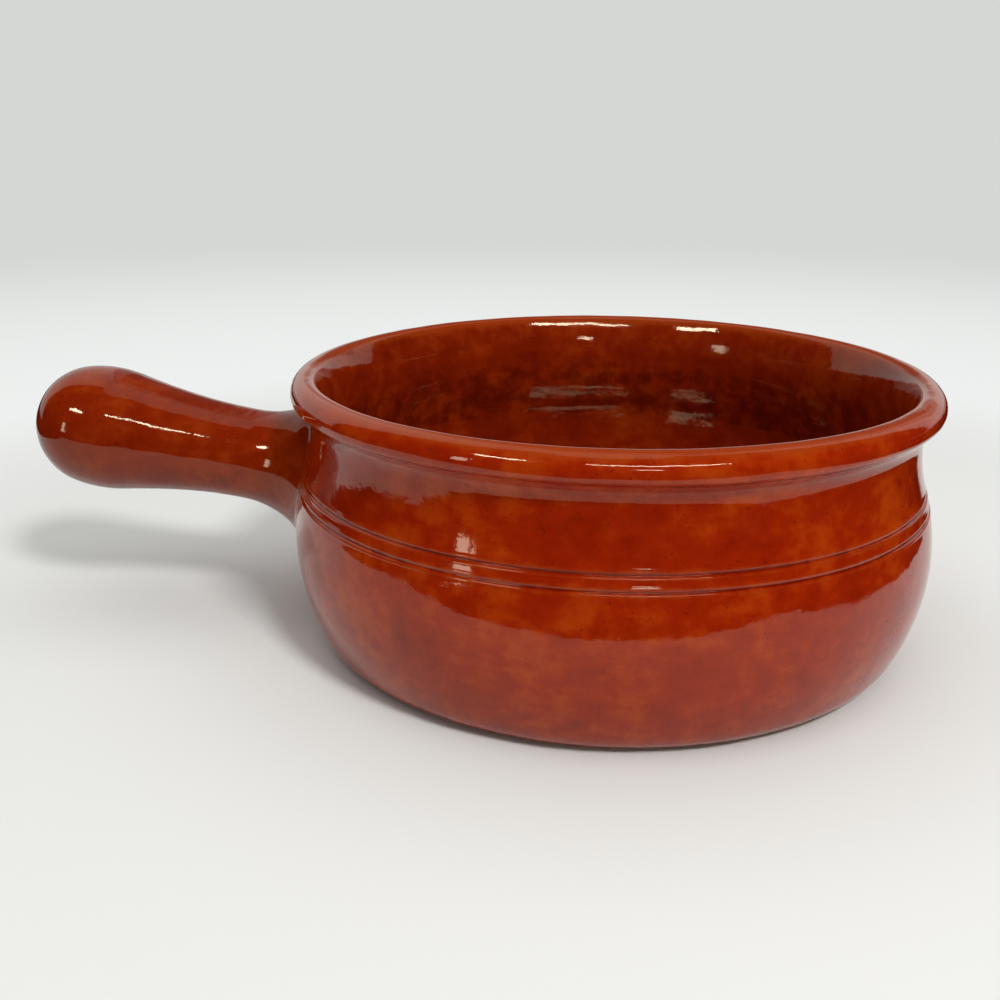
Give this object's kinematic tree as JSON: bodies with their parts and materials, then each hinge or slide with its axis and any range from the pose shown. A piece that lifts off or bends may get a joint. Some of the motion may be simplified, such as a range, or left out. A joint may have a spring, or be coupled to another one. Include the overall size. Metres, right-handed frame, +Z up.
{
  "type": "saucepan",
  "caption": "Deep round glazed earthenware saucepan with a rolled rim, two turned grooves and a hollow bulbous side handle.",
  "frame": {"origin": "centre of the flat standing face, on the axis of the bowl", "axes": "+Z up along the axis of the bowl, handle along -X, Y across"},
  "size_m": [0.3487, 0.2416, 0.1019],
  "materials": {
    "red_clay": "matt fired red clay",
    "joint_clay": "matt fired red clay slip",
    "glaze_inside": "glossy transparent honey glaze over red clay",
    "glaze_outside": "glossy transparent honey glaze over red clay",
    "glaze_handle": "glossy transparent honey glaze over red clay"
  },
  "bodies": {
    "root": {"bowl": "red_clay", "handle": "red_clay", "handle_joint": "joint_clay", "inner_glaze": "glaze_inside", "outer_glaze": "glaze_outside", "handle_glaze": "glaze_handle"}
  },
  "joints": []
}
